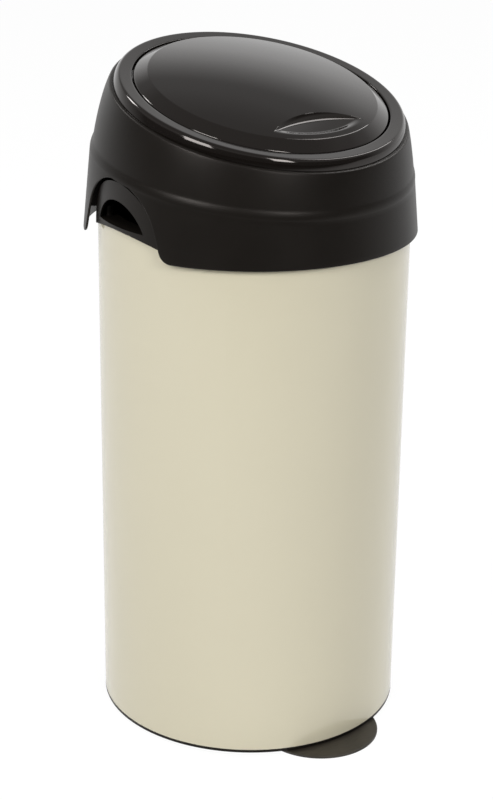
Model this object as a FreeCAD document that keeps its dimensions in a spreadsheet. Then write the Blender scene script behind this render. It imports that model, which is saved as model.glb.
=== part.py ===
import FreeCAD, Part
import math
import os
import Sketcher
from FreeCAD import Placement, Rotation, Vector

# A free-standing round waste bin with a lift-off cover and a swing flap.
# Millimetres, +Z up, front towards -Y, origin on the floor under the axis of the steel body.
# Flap, ring and all that they carry are drawn in the ring's own frame: centre of the ring's top face,
# tilted so that the rear is the higher side.

SIZES = (
    ("fit", 0.3, "gap where one moulding seats in or beside another"),
    ("body_r", 150.0, "steel body, outside radius"),
    ("body_wall", 0.8, "steel sheet"),
    ("body_top", 513.0, "height of the steel's top edge"),
    ("rim_low", 2.5, "base rim, height above the floor"),
    ("rim_tall", 3.0, "base rim, the black line under the steel"),
    ("pan_inset", 10.0, "disc that the bin stands on, inside the steel's radius"),
    ("pan_floor", 5.0, "base floor thickness"),
    ("pan_wall", 2.5, "base wall inside the steel"),
    ("pan_tall", 32.0, "height of the base wall's top edge"),
    ("boss_r", 5.0, "screw bosses in the base"),
    ("boss_tall", 6.0, "height of those bosses above the base floor"),
    ("plate_r", 59.6, "foot plate radius"),
    ("plate_proud", 28.6, "foot plate, front edge in front of the steel"),
    ("plate_thick", 2.0, "foot plate thickness"),
    ("plate_round", 0.8, "rounding of the foot plate's top edge"),
    ("plate_screw_back", 45.0, "rear foot plate screw, behind the plate's centre"),
    ("plate_screw_side", 30.0, "side foot plate screws, from the centre plane"),
    ("plate_screw_in", 10.0, "side foot plate screws, behind the plate's centre"),
    ("screw_r", 2.0, "screw shanks"),
    ("screw_head_r", 3.4, "screw heads"),
    ("screw_head", 1.8, "screw head height"),
    ("screw_long", 8.0, "thread length in plastic"),
    ("screw_slack", 0.08, "radial gap round a screw"),
    ("collar_wall", 2.5, "collar leg inside the steel"),
    ("collar_leg", 19.0, "depth of that leg"),
    ("collar_web", 2.0, "collar ledge on top of the steel edge"),
    ("collar_ledge", 16.0, "inner edge of the ledge, inside the steel's radius"),
    ("neck_inset", 7.0, "collar neck, inside the steel's radius"),
    ("collar_neck_wall", 2.0, "collar neck wall"),
    ("neck_tall", 45.0, "collar's top edge above the steel"),
    ("collar_lip", 2.0, "bag lip inside the neck"),
    ("collar_lip_tall", 3.0, "bag lip height"),
    ("rivet_drop", 9.0, "rivets below the steel's top edge"),
    ("rivet_head_r", 4.0, "rivet heads"),
    ("rivet_head", 0.9, "rivet head height"),
    ("grip_proud", 2.8, "a grip's bent face outside the steel"),
    ("grip_wall", 2.2, "wall of a grip's tunnel"),
    ("grip_y", 6.0, "grip's middle behind the bin's axis"),
    ("grip_plate_r", 58.0, "radius of the face's arch"),
    ("grip_plate_drop", 14.0, "that arch's centre below the steel's top edge"),
    ("grip_corner_drop", 9.1, "the face's lower corners below the steel's top edge"),
    ("grip_sill_r", 220.0, "radius of the face's lower edge"),
    ("grip_r", 50.0, "radius of the tunnel's arch"),
    ("grip_drop", 7.5, "the tunnel arch's centre below the steel's top edge"),
    ("grip_depth", 22.5, "grip tunnel from face to inner end"),
    ("hole_half", 39.0, "half the width of a hand hole"),
    ("hole_tall", 24.5, "height of a hand hole"),
    ("grip_screw_inset", 7.7, "grip screws, inside the steel's radius"),
    ("grip_screw_y", 41.0, "grip screws, fore and aft of the grip's middle"),
    ("grip_boss_r", 4.2, "grip screw bosses"),
    ("cover_wall", 2.2, "cover wall"),
    ("cover_lap", 19.0, "cover hanging down over the steel"),
    ("cover_flare", 10.7, "lower edge outside the steel's radius"),
    ("cover_low_v", 5.9, "lower edge, centre behind the bin's axis"),
    ("crease_rise", 54.5, "crease plane on the bin's axis, above the steel"),
    ("crease_tilt", 8.8, "crease plane tilt, degrees"),
    ("crease_out", 4.8, "proud band at the crease, outside the steel's radius"),
    ("crease_v", 2.2, "crease, centre behind the axis along the slope"),
    ("crease_step", 2.0, "how far the band stands proud"),
    ("crease_soft", 6.0, "height of the rounded shoulder on top of the band"),
    ("brow_drop", 1.4, "a point of that shoulder's curve, below the crease"),
    ("brow_in", 0.7, "the same point, inside the band"),
    ("shoulder_rise", 83.5, "shoulder plane on the bin's axis, above the steel"),
    ("shoulder_tilt", 12.8, "shoulder plane tilt, degrees"),
    ("shoulder_in", 2.2, "shoulder inside the steel's radius"),
    ("shoulder_v", -1.7, "shoulder, centre behind the axis along the slope"),
    ("cover_ledge", 3.2, "cover's wall under its top edge, outside the ring"),
    ("cover_edge", 2.2, "bevel of the cover's top edge"),
    ("cover_deck", 2.5, "deck under the ring"),
    ("arch_r", 58.0, "radius of the cover's side arch"),
    ("arch_y", 6.0, "arch centre behind the bin's axis"),
    ("arch_drop", 11.0, "the arch's centre below the steel's top edge"),
    ("arch_lean", 20.0, "outward lean of the arch's straight flanks, degrees"),
    ("arch_flare", 9.0, "rounding where a flank meets the lower edge"),
    ("rib_thick", 2.0, "cover ribs"),
    ("rib_tall", 29.0, "cover rib height"),
    ("rib_gap", 1.5, "cover ribs, gap to the collar neck"),
    ("ring_rise", 114.8, "ring plane on the bin's axis, above the steel"),
    ("ring_tilt", 15.9, "ring plane tilt, degrees"),
    ("ring_v", -9.5, "ring, centre behind the axis along the slope"),
    ("ring_inset", 11.0, "ring's outside, inside the steel's radius"),
    ("ring_wide", 16.4, "ring width"),
    ("ring_wall", 2.2, "ring wall"),
    ("ring_round", 6.0, "rounding of the ring's outer edge"),
    ("ring_lip", 0.8, "rounding of the ring's inner edge"),
    ("ring_dish", 1.2, "fall of the ring's top face towards the opening"),
    ("ring_side", 9.3, "depth of the ring's outer side"),
    ("ring_throat", 15.0, "depth of the ring's inner wall"),
    ("ring_groove", 0.3, "gap between ring and cover"),
    ("ring_boss_r", 3.4, "ring screw bosses"),
    ("ledge_wide", 3.4, "stop ledge, reach into the opening"),
    ("ledge_thick", 2.5, "stop ledge thickness"),
    ("ledge_turn", 140.0, "stop ledge, degrees round the rear"),
    ("stop_pad_r", 1.6, "stop pads"),
    ("stop_pad_tall", 1.2, "stop pad height"),
    ("pivot_drop", 6.5, "flap axle below the ring's top face"),
    ("pin_r", 2.5, "axle pins"),
    ("pin_slack", 0.06, "running gap round a pin"),
    ("pin_inner", 19.6, "pins, inner end inside the ring's opening"),
    ("pin_outer", 8.4, "pins, outer end outside the ring's opening"),
    ("bush_r", 3.7, "bearing bushes, outside radius"),
    ("bush_slack", 0.05, "gap round a bush"),
    ("bush_long", 10.0, "bush length"),
    ("block_half", 7.0, "half the width of a bearing block"),
    ("block_drop", 12.0, "bearing block, depth below the ring's top face"),
    ("flap_gap", 1.6, "gap between flap and ring"),
    ("flap_wall", 2.2, "flap dome wall"),
    ("flap_skirt", 3.6, "depth of the flap's outer edge"),
    ("flap_edge", 1.5, "rounding of that edge"),
    ("flap_band", 12.2, "width of the flap's band, from its edge to the dome's crease"),
    ("flap_crease", 6.5, "height of that crease above the ring"),
    ("dome_rise", 10.0, "dome above the crease"),
    ("recess_half", 52.0, "half the width of the finger recess"),
    ("recess_rim", 6.2, "recess front edge, inside the dome's crease"),
    ("recess_deep", 30.9, "recess from its front edge back to its rear wall"),
    ("recess_drop", 5.0, "recess floor below the dome"),
    ("dish_drop", 22.0, "bottom of the flap's inner shell below the ring's top face"),
    ("dish_slope", 26.0, "width of the inner shell's cone"),
    ("dish_flange", 4.5, "width of its rim outside the cone"),
    ("dish_rim", 5.5, "underside of its rim below the ring's top face"),
    ("dish_wall", 2.0, "inner shell wall"),
    ("hub_long", 18.5, "axle hubs, from the rim inwards"),
    ("hub_half", 7.0, "half the width of an axle hub"),
    ("hub_drop", 14.0, "axle hubs, depth below the ring's top face"),
    ("flap_boss_r", 4.5, "flap screw bosses"),
    ("flap_boss_in", 18.0, "flap screw bosses, inside the flat bottom's edge"),
    ("weight_end", 18.0, "counterweight ends, inside the flat bottom's edge"),
    ("weight_wide", 38.0, "counterweight width"),
    ("weight_thick", 4.0, "counterweight thickness"),
    ("weight_screw_in", 15.0, "counterweight screws, from its ends"),
)

RIVET_ANGLES = (45, 135, 225, 315)
RIB_ANGLES = (-150, -122, -58, -30, 30, 58, 122, 150)
RING_SCREW_ANGLES = (30, 90, 150, 210, 270, 330)
STOP_PAD_ANGLES = (45, 135)
FLAP_SCREW_ANGLES = (45, 135, 225, 315)

doc = FreeCAD.newDocument("waste_bin")
sheet = doc.addObject("Spreadsheet::Sheet", "sizes")


class Size:
    """A number together with the spreadsheet expression that gives it."""

    def __init__(self, number, text=None):
        self.number = float(number)
        self.text = text or repr(self.number)

    def _join(self, other, sign, number):
        return Size(number, f"({self.text} {sign} {other.text})")

    def __add__(self, other):
        other = as_size(other)
        return self._join(other, "+", self.number + other.number)

    def __sub__(self, other):
        other = as_size(other)
        return self._join(other, "-", self.number - other.number)

    def __mul__(self, other):
        other = as_size(other)
        return self._join(other, "*", self.number * other.number)

    def __truediv__(self, other):
        other = as_size(other)
        return self._join(other, "/", self.number / other.number)

    def __rsub__(self, other):
        return as_size(other) - self

    def __neg__(self):
        return 0 - self

    __radd__ = __add__
    __rmul__ = __mul__

    def root(self):
        return Size(math.sqrt(self.number), f"sqrt({self.text})")

    def cos(self):
        return Size(math.cos(math.radians(self.number)), f"cos({self.text} * 1deg)")

    def sin(self):
        return Size(math.sin(math.radians(self.number)), f"sin({self.text} * 1deg)")


def as_size(value):
    return value if isinstance(value, Size) else Size(value)


def read_sizes():
    """Fills the sheet, one row a size, and returns the sizes by name."""
    table = {}
    for row, (name, number, note) in enumerate(SIZES, start=1):
        sheet.set(f"A{row}", name)
        sheet.set(f"B{row}", str(number))
        sheet.set(f"C{row}", note)
        sheet.setAlias(f"B{row}", name)
        table[name] = Size(number, f"sizes.{name}")
    doc.recompute()
    return table


class Named:
    """Sizes as attributes."""

    def __init__(self, table):
        self.__dict__.update(table)


S = Named(read_sizes())

# Heights and radii that several pieces share
rim_top = S.rim_low + S.rim_tall
pan_r = S.body_r - S.pan_inset
inside_r = S.body_r - S.body_wall - S.fit
plate_y = S.plate_r - S.body_r - S.plate_proud
ledge_top = S.body_top + S.collar_web
ledge_r = S.body_r - S.collar_ledge
neck_r = S.body_r - S.neck_inset
neck_in_r = neck_r - S.collar_neck_wall
neck_top = S.body_top + S.neck_tall
rivet_z = S.body_top - S.rivet_drop
face_r = S.body_r + S.grip_proud
tunnel_z = S.body_top - S.grip_drop
cover_low = S.body_top - S.cover_lap
cover_low_r = S.body_r + S.cover_flare
crease_z = S.body_top + S.crease_rise
crease_r = S.body_r + S.crease_out
arch_z = S.body_top - S.arch_drop
ring_z = S.body_top + S.ring_rise
ring_out = S.body_r - S.ring_inset
ring_in = ring_out - S.ring_wide
throat_r = ring_in + S.ring_wall
deck_depth = S.ring_side + S.ring_groove
cover_top_r = ring_out + S.cover_ledge
ring_screw_r = (throat_r + ring_out - S.ring_wall) / 2
block_out = ring_in + S.bush_long
pin_in = ring_in - S.pin_inner
pin_out = ring_in + S.pin_outer
flap_r = ring_in - S.flap_gap
flap_inner_r = flap_r - S.flap_wall
flap_crease_r = flap_r - S.flap_band
recess_front = flap_crease_r - S.recess_rim
recess_back = recess_front - S.recess_deep
dish_rim_r = flap_inner_r - S.fit
dish_lip_r = dish_rim_r - S.dish_flange
dish_r = dish_lip_r - S.dish_slope
hub_in = dish_rim_r - S.hub_long
flap_boss_at = dish_r - S.flap_boss_in
weight_long = (dish_r - S.weight_end) * 2
weight_screw = weight_long / 2 - S.weight_screw_in
pilot_r = S.screw_r + S.screw_slack
UP = Vector(0, 0, 1)
DOWN = Vector(0, 0, -1)


def bind(thing, path, value):
    """Sets one property of an object from a size."""
    thing.setExpression(path, as_size(value).text)


def place(thing, at=(0, 0, 0), turn=None):
    """Puts an object at a point given by sizes, turned by a fixed rotation."""
    point = [as_size(v) for v in at]
    thing.Placement = Placement(Vector(*(v.number for v in point)), turn or Rotation())
    for axis, value in zip("xyz", point):
        bind(thing, f"Placement.Base.{axis}", value)
    return thing


def slope_point(plane_z, tilt, along, depth=0):
    """Point of the centre plane: along the slope behind the bin's axis, and depth below the tilted plane."""
    along = as_size(along)
    depth = as_size(depth)
    return (0, along * tilt.cos() + depth * tilt.sin(), plane_z + along * tilt.sin() - depth * tilt.cos())


def tilt_to(thing, at, tilt):
    """Puts an object at a point and tips it about X, rear side up."""
    place(thing, at, Rotation(Vector(1, 0, 0), tilt.number))
    bind(thing, "Placement.Rotation.Angle", tilt)
    return thing


def into_ring_frame(thing):
    return tilt_to(thing, slope_point(ring_z, S.ring_tilt, S.ring_v), S.ring_tilt)


def around(radius, angle):
    """X and Y of a point on a circle, with the angle counted from +X towards the rear."""
    turn = math.radians(angle)
    return radius * round(math.cos(turn), 9), radius * round(math.sin(turn), 9)


def add(kind, name, **sizes):
    thing = doc.addObject(kind, name)
    thing.Label = name
    for path, value in sizes.items():
        bind(thing, path, value)
    return thing


def cylinder(name, radius, tall, at=(0, 0, 0), axis=UP):
    return place(add("Part::Cylinder", name, Radius=radius, Height=tall), at, Rotation(UP, axis))


def cone(name, low_r, high_r, tall, at):
    return place(add("Part::Cone", name, Radius1=low_r, Radius2=high_r, Height=tall), at)


def group(name, things):
    made = add("Part::Compound", name)
    made.Links = things
    return made


def fuse(name, things):
    made = add("Part::MultiFuse", name)
    made.Shapes = things
    return made


def cut(name, base, tools):
    made = add("Part::Cut", name)
    made.Base = base
    made.Tool = tools[0] if len(tools) == 1 else group(f"{name}_tools", tools)
    return made


def mirrored(name, source):
    """The same piece on the other side of the centre plane."""
    made = add("Part::Mirroring", name)
    made.Source = source
    made.Normal = Vector(1, 0, 0)
    return made


def pin_point(sketch, curve, end, x, y):
    """Fixes a curve's end, or a circle's centre, to sizes."""
    for kind, value, line in (("DistanceX", as_size(x), -2), ("DistanceY", as_size(y), -1)):
        if value.number == 0:
            sketch.addConstraint(Sketcher.Constraint("PointOnObject", curve, end, line))
        else:
            index = sketch.addConstraint(Sketcher.Constraint(kind, -1, 1, curve, end, value.number))
            bind(sketch, f"Constraints[{index}]", value)


def fix_radius(sketch, curve, radius):
    index = sketch.addConstraint(Sketcher.Constraint("Radius", curve, radius.number))
    bind(sketch, f"Constraints[{index}]", radius)


def arc_between(start, end, radius, bend):
    """Arc under a half circle from start to end that bends left (1) or right (-1), drawn anticlockwise."""
    chord = end - start
    rise = math.sqrt(max(radius ** 2 - chord.Length ** 2 / 4, 0))
    side = Vector(-chord.y, chord.x, 0).normalize() * (rise * bend)
    centre = (start + end) * 0.5 + side
    first, last = (start, end) if bend > 0 else (end, start)
    angles = [math.atan2(p.y - centre.y, p.x - centre.x) for p in (first, last)]
    return Part.ArcOfCircle(Part.Circle(centre, UP, radius), *angles)


def outline(sketch, corners, arcs=None):
    """Closed outline through corners; arcs gives, for the stretch after a corner, its radius and bend."""
    arcs = arcs or {}
    points = [Vector(as_size(x).number, as_size(y).number, 0) for x, y in corners]
    ends = []
    for number, start in enumerate(points):
        end = points[(number + 1) % len(points)]
        if number in arcs:
            radius, bend = arcs[number]
            curve = sketch.addGeometry(arc_between(start, end, as_size(radius).number, bend))
            ends.append((curve, 1, 2) if bend > 0 else (curve, 2, 1))
        else:
            curve = sketch.addGeometry(Part.LineSegment(start, end))
            ends.append((curve, 1, 2))
    for number, (curve, first, last) in enumerate(ends):
        after, after_first, _ = ends[(number + 1) % len(ends)]
        sketch.addConstraint(Sketcher.Constraint("Coincident", curve, last, after, after_first))
        pin_point(sketch, curve, first, *corners[number])
    for number, (radius, _) in arcs.items():
        fix_radius(sketch, ends[number][0], as_size(radius))
    return sketch


def circles(sketch, centres, radius):
    radius = as_size(radius)
    for x, y in centres:
        centre = Vector(as_size(x).number, as_size(y).number, 0)
        curve = sketch.addGeometry(Part.Circle(centre, UP, radius.number))
        pin_point(sketch, curve, 3, x, y)
        fix_radius(sketch, curve, radius)
    return sketch


def free_sketch(name, turn):
    sketch = doc.addObject("Sketcher::SketchObject", name)
    sketch.Placement = Placement(Vector(), turn)
    return sketch


STANDING = Rotation(Vector(1, 0, 0), 90)
SIDEWAYS = Rotation(Vector(1, 1, 1), 120)
FLAT = Rotation()


def spun(name, corners, arcs=None):
    """Solid of revolution about Z from an outline of radius and height."""
    made = add("Part::Revolution", name)
    made.Source = outline(free_sketch(f"{name}_profile", STANDING), corners, arcs)
    made.Axis = UP
    made.Angle = 360
    made.Solid = True
    return made


def prism(name, turn, direction, length, corners, arcs=None, back=0):
    """Outline drawn in a turned plane and carried along a direction, from -back to length."""
    made = add("Part::Extrusion", name, LengthFwd=length, LengthRev=back)
    made.Base = outline(free_sketch(f"{name}_outline", turn), corners, arcs)
    made.DirMode = "Custom"
    made.Dir = direction
    made.Solid = True
    return made


def new_body(name):
    body = doc.addObject("PartDesign::Body", name)
    body.Label = name
    return body


def body_sketch(body, role, offset=0):
    """Sketch on one of the body's own planes, moved along the plane's normal."""
    plane = next(item for item in body.Origin.OriginFeatures if item.Role == role)
    sketch = body.newObject("Sketcher::SketchObject", f"{body.Name}_sketch")
    offset = as_size(offset)
    sketch.AttachmentSupport = [(plane, "")]
    sketch.MapMode = "FlatFace"
    sketch.AttachmentOffset = Placement(Vector(0, 0, offset.number), Rotation())
    bind(sketch, "AttachmentOffset.Base.z", offset)
    return sketch


def revolve(body, sketch, angle=None):
    feature = body.newObject("PartDesign::Revolution", f"{body.Name}_turned")
    feature.Profile = sketch
    feature.ReferenceAxis = (sketch, ["V_Axis"])
    feature.Angle = 360
    if angle is not None:
        bind(feature, "Angle", angle)
        feature.Midplane = True
    return feature


def pad(body, sketch, length):
    feature = body.newObject("PartDesign::Pad", f"{body.Name}_pad")
    feature.Profile = sketch
    bind(feature, "Length", length)
    return feature


def pocket(body, sketch, length, up=False, both=False):
    """Cut against the sketch's normal, along it (up), or half the length each way (both)."""
    before = body.Shape.Volume if not body.Shape.isNull() else 0
    feature = body.newObject("PartDesign::Pocket", f"{body.Name}_cut")
    feature.Profile = sketch
    feature.Reversed = up
    if both:
        feature.SideType = "Symmetric"
    bind(feature, "Length", length)
    doc.recompute()
    if before and body.Shape.Volume >= before:
        raise RuntimeError(f"a cut in {body.Label} removes nothing")
    return feature


def rectangle(x_low, x_high, y_low, y_high):
    return [(x_low, y_low), (x_high, y_low), (x_high, y_high), (x_low, y_high)]


def arch(radius, centre_z, low_z):
    """Corners and arcs of a round arch that stands on a straight sill at the grips' middle."""
    half = (radius * radius - (low_z - centre_z) * (low_z - centre_z)).root()
    corners = [(S.grip_y - half, low_z), (S.grip_y + half, low_z), (S.grip_y, centre_z + radius)]
    return corners, {1: (radius, 1), 2: (radius, 1)}


def screw(name, at, axis, shank_long, sunk=False):
    """Screw whose head's inner face is at the given point and whose shank runs along the axis."""
    shank = cylinder(f"{name}_shank", S.screw_r, shank_long)
    if sunk:
        head = cone(f"{name}_head", S.screw_head_r, S.screw_r, S.screw_head, (0, 0, 0))
    else:
        head = cylinder(f"{name}_head", S.screw_head_r, S.screw_head, (0, 0, -S.screw_head))
    return place(fuse(name, [shank, head]), at, Rotation(UP, axis))


def radial(name, radius, inner, outer, height, angle):
    """Round bar lying along a radius of the bin."""
    axis = Vector(math.cos(math.radians(angle)), math.sin(math.radians(angle)), 0)
    x, y = around(inner, angle)
    return cylinder(name, radius, outer - inner, (x, y, height), axis)


def make_steel_body():
    tube = spun("steel_tube", rectangle(S.body_r - S.body_wall, S.body_r, rim_top, S.body_top))
    bores = rivet_bores("steel")
    return cut("steel_body", tube, bores)


def rivet_bores(owner):
    inner = inside_r - S.collar_wall * 2
    return [
        radial(f"{owner}_bore_{angle}", pilot_r, inner, S.body_r * 1.02, rivet_z, angle) for angle in RIVET_ANGLES
    ]


def plate_screw_points():
    back = plate_y + S.plate_screw_in
    return [(0, plate_y + S.plate_screw_back), (S.plate_screw_side, back), (-S.plate_screw_side, back)]


def make_base_pan():
    """Dished plastic bottom: standing disc, rim under the steel, wall inside the steel, screw bosses."""
    body = new_body("base_pan")
    inner = inside_r - S.pan_wall
    profile = [
        (0, 0), (pan_r, 0), (pan_r, S.rim_low), (S.body_r, S.rim_low), (S.body_r, rim_top),
        (inside_r, rim_top), (inside_r, S.pan_tall), (inner, S.pan_tall), (inner, S.pan_floor), (0, S.pan_floor),
    ]
    revolve(body, outline(body_sketch(body, "XZ_Plane"), profile))
    pad(body, circles(body_sketch(body, "XY_Plane", S.pan_floor), plate_screw_points(), S.boss_r), S.boss_tall)
    doc.recompute()
    seat = circles(body_sketch(body, "XY_Plane", S.plate_thick), [(0, plate_y)], S.plate_r + S.fit)
    pocket(body, seat, S.plate_thick * 2)
    holes = circles(body_sketch(body, "XY_Plane", S.plate_thick), plate_screw_points(), pilot_r)
    pocket(body, holes, S.screw_long, up=True)
    return body


def make_foot_plate():
    """Thin round plate let into the base's underside."""
    top = S.plate_thick
    profile = [(0, 0), (S.plate_r, 0), (S.plate_r, top - S.plate_round), (S.plate_r - S.plate_round, top), (0, top)]
    disc = place(spun("foot_disc", profile, {2: (S.plate_round, 1)}), (0, plate_y, 0))
    tools = []
    for number, (x, y) in enumerate(plate_screw_points()):
        sink_r = S.screw_head_r + S.screw_slack
        tools.append(fuse(f"foot_hole_{number}", [
            cylinder(f"foot_bore_{number}", pilot_r, top, (x, y, 0)),
            cone(f"foot_sink_{number}", sink_r, pilot_r, S.screw_head, (x, y, 0)),
        ]))
    return cut("foot_plate", disc, tools)


def make_foot_plate_screws():
    reach = S.plate_thick + S.screw_long - S.fit
    return group("foot_plate_screws", [
        screw(f"foot_screw_{number}", (x, y, 0), UP, reach, sunk=True)
        for number, (x, y) in enumerate(plate_screw_points())
    ])


def grip_screw_points():
    """Two screws a side, on one circle, fore and aft of the grip's middle."""
    circle = S.body_r - S.grip_screw_inset
    points = []
    for y in (S.grip_y - S.grip_screw_y, S.grip_y + S.grip_screw_y):
        x = (circle * circle - y * y).root()
        points += [(-x, y), (x, y)]
    return points


def make_collar():
    """Turned ring with a leg in the steel body, a ledge on its edge and a neck with a bag lip."""
    leg_in = inside_r - S.collar_wall
    leg_low = S.body_top - S.collar_leg
    lip_r = neck_in_r - S.collar_lip
    lip_low = neck_top - S.collar_lip_tall
    ring = spun("collar_ring", [
        (leg_in, leg_low), (inside_r, leg_low), (inside_r, S.body_top), (S.body_r, S.body_top),
        (S.body_r, ledge_top), (neck_r, ledge_top), (neck_r, neck_top),
        (lip_r, neck_top), (lip_r, lip_low), (neck_in_r, lip_low), (neck_in_r, ledge_top),
        (ledge_r, ledge_top), (ledge_r, S.body_top), (leg_in, S.body_top),
    ])
    corners, arcs = arch(S.grip_r + S.fit, tunnel_z, ledge_top)
    window = prism("collar_window", SIDEWAYS, Vector(1, 0, 0), face_r, corners, arcs, back=face_r)
    holes = [
        cylinder(f"collar_hole_{number}", pilot_r, S.collar_web, (x, y, S.body_top))
        for number, (x, y) in enumerate(grip_screw_points())
    ]
    return cut("collar", ring, [window, *holes, *rivet_bores("collar")])


def make_collar_rivets():
    """Shank through collar and steel, with a flat head outside the steel."""
    inner = inside_r - S.collar_wall
    rivets = []
    for angle in RIVET_ANGLES:
        shank = radial(f"rivet_shank_{angle}", S.screw_r, inner, S.body_r + S.rivet_head, rivet_z, angle)
        head = radial(f"rivet_head_{angle}", S.rivet_head_r, S.body_r, S.body_r + S.rivet_head, rivet_z, angle)
        rivets.append(fuse(f"rivet_{angle}", [shank, head]))
    return group("collar_rivets", rivets)


def shared(name, base, tool):
    made = add("Part::Common", name)
    made.Base = base
    made.Tool = tool
    return made


def bin_cylinder(name, radius):
    """Tall round bar about the bin's axis, to shape what follows the steel's curve."""
    return cylinder(name, radius, S.cover_deck * 60, (0, 0, cover_low - S.cover_deck * 20))


def make_right_grip():
    """Arched face bent round the steel's edge, with a tunnel through the collar's neck and a half-moon hand hole."""
    along = Vector(1, 0, 0)
    tunnel_x = face_r - S.grip_depth
    back_r = S.body_r + S.fit
    shell = cut("grip_bent_shell", bin_cylinder("grip_face_bar", face_r), [bin_cylinder("grip_back_bar", back_r)])
    corners, arcs = arch(S.grip_plate_r, S.body_top - S.grip_plate_drop, S.body_top - S.grip_corner_drop)
    arcs[0] = (S.grip_sill_r, -1)
    blank = prism("grip_plate_blank", SIDEWAYS, along, cover_low_r, corners, arcs, back=-tunnel_x)
    face = shared("grip_plate", blank, shell)
    block_r = (back_r + face_r) / 2
    corners, arcs = arch(S.grip_r, tunnel_z, ledge_top)
    blank = prism("grip_block_blank", SIDEWAYS, along, cover_low_r, corners, arcs, back=-tunnel_x)
    block = shared("grip_block", blank, bin_cylinder("grip_block_bar", block_r))
    corners, arcs = arch(S.grip_r - S.grip_wall, tunnel_z, ledge_top)
    blank = prism("grip_room_blank", SIDEWAYS, along, cover_low_r, corners, arcs, back=-tunnel_x)
    room = shared("grip_room", blank, bin_cylinder("grip_room_bar", back_r))
    hole_r = dome_radius(S.hole_tall, S.hole_half)
    corners, arcs = arch(hole_r, ledge_top + S.hole_tall - hole_r, ledge_top)
    hole = prism("grip_hole", SIDEWAYS, along, cover_low_r, corners, arcs, back=-tunnel_x)
    shell = cut("grip_shell", fuse("grip_solid", [face, block]), [fuse("grip_space", [room, hole])])
    bosses = []
    pilots = []
    for number, (x, y) in enumerate(grip_screw_points()):
        if x.number > 0:
            at = (x, y, ledge_top)
            bosses.append(cylinder(f"grip_boss_{number}", S.grip_boss_r, S.screw_long + S.fit * 4, at))
            pilots.append(cylinder(f"grip_pilot_{number}", pilot_r, S.screw_long, at))
    return cut("right_grip", fuse("grip_with_bosses", [shell, *bosses]), pilots)


def make_grip_screws():
    reach = S.collar_web + S.screw_long - S.fit
    return group("grip_screws", [
        screw(f"grip_screw_{number}", (x, y, S.body_top), UP, reach)
        for number, (x, y) in enumerate(grip_screw_points())
    ])


def hoop(name, radius, plane_z, tilt, along, depth=0):
    """Circle in a tilted plane, one section of the cover."""
    return tilt_to(add("Part::Circle", name, Radius=radius), slope_point(plane_z, tilt, along, depth), tilt)


def loft(name, sections):
    made = add("Part::Loft", name)
    made.Sections = sections
    made.Solid = True
    return made


def cover_solid(name, inset, deck, bevel=None):
    """Lower band, its rounded shoulder and the upper wall, each a loft through circles, drawn in by a wall."""
    level = Size(0)
    low = hoop(f"{name}_low", cover_low_r - inset, cover_low, level, S.cover_low_v)
    band = hoop(f"{name}_band", crease_r - inset, crease_z, S.crease_tilt, S.crease_v, S.crease_soft)
    brow = hoop(f"{name}_brow", crease_r - S.brow_in - inset, crease_z, S.crease_tilt, S.crease_v, S.brow_drop)
    step = hoop(f"{name}_step", crease_r - S.crease_step - inset, crease_z, S.crease_tilt, S.crease_v)
    shoulder_r = S.body_r - S.shoulder_in
    shoulder_z = S.body_top + S.shoulder_rise
    shoulder = hoop(f"{name}_shoulder", shoulder_r - inset, shoulder_z, S.shoulder_tilt, S.shoulder_v)
    top = hoop(f"{name}_top", cover_top_r - inset, ring_z, S.ring_tilt, S.ring_v, deck_depth + deck)
    walls = [[low, band], [band, brow, step], [step, shoulder, top]]
    if bevel is not None:
        edge = hoop(f"{name}_edge", cover_top_r - bevel, ring_z, S.ring_tilt, S.ring_v, deck_depth + deck - bevel)
        walls.append([top, edge])
    return fuse(name, [loft(f"{name}_loft_{number}", sections) for number, sections in enumerate(walls)])


def cover_ribs():
    """Upright webs that stand on the collar's ledge."""
    inner = neck_r + S.rib_gap
    reach = cover_low_r + S.cover_low_v - inner
    ribs = []
    for angle in RIB_ANGLES:
        out = angle - 90
        x, y = around(inner, out)
        dx, dy = around(S.rib_thick / 2, out - 90)
        rib = add("Part::Box", f"rib_{angle + 180}", Length=reach, Width=S.rib_thick, Height=S.rib_tall)
        ribs.append(place(rib, (x + dx, y + dy, ledge_top + S.fit), Rotation(UP, out)))
    return fuse("cover_rib_blanks", ribs)


def side_arches():
    """Prism that cuts both side arches: round above, straight leaning flanks, rounded into the lower edge."""
    across = S.arch_lean.cos()
    upward = S.arch_lean.sin()
    flank_z = arch_z + S.arch_r * upward
    flank = S.arch_r * across
    foot = flank + (flank_z - cover_low) * upward / across
    tangent = S.arch_flare * across / (1 + upward)
    bend = foot - tangent * upward
    bend_z = cover_low + tangent * across
    middle = S.arch_y
    corners = [
        (middle - foot - tangent, cover_low), (middle + foot + tangent, cover_low), (middle + bend, bend_z),
        (middle + flank, flank_z), (middle, arch_z + S.arch_r), (middle - flank, flank_z), (middle - bend, bend_z),
    ]
    arcs = {1: (S.arch_flare, -1), 3: (S.arch_r, 1), 4: (S.arch_r, 1), 6: (S.arch_flare, -1)}
    reach = cover_low_r * 1.1
    return prism("cover_arches", SIDEWAYS, Vector(1, 0, 0), reach, corners, arcs, back=reach)


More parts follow.
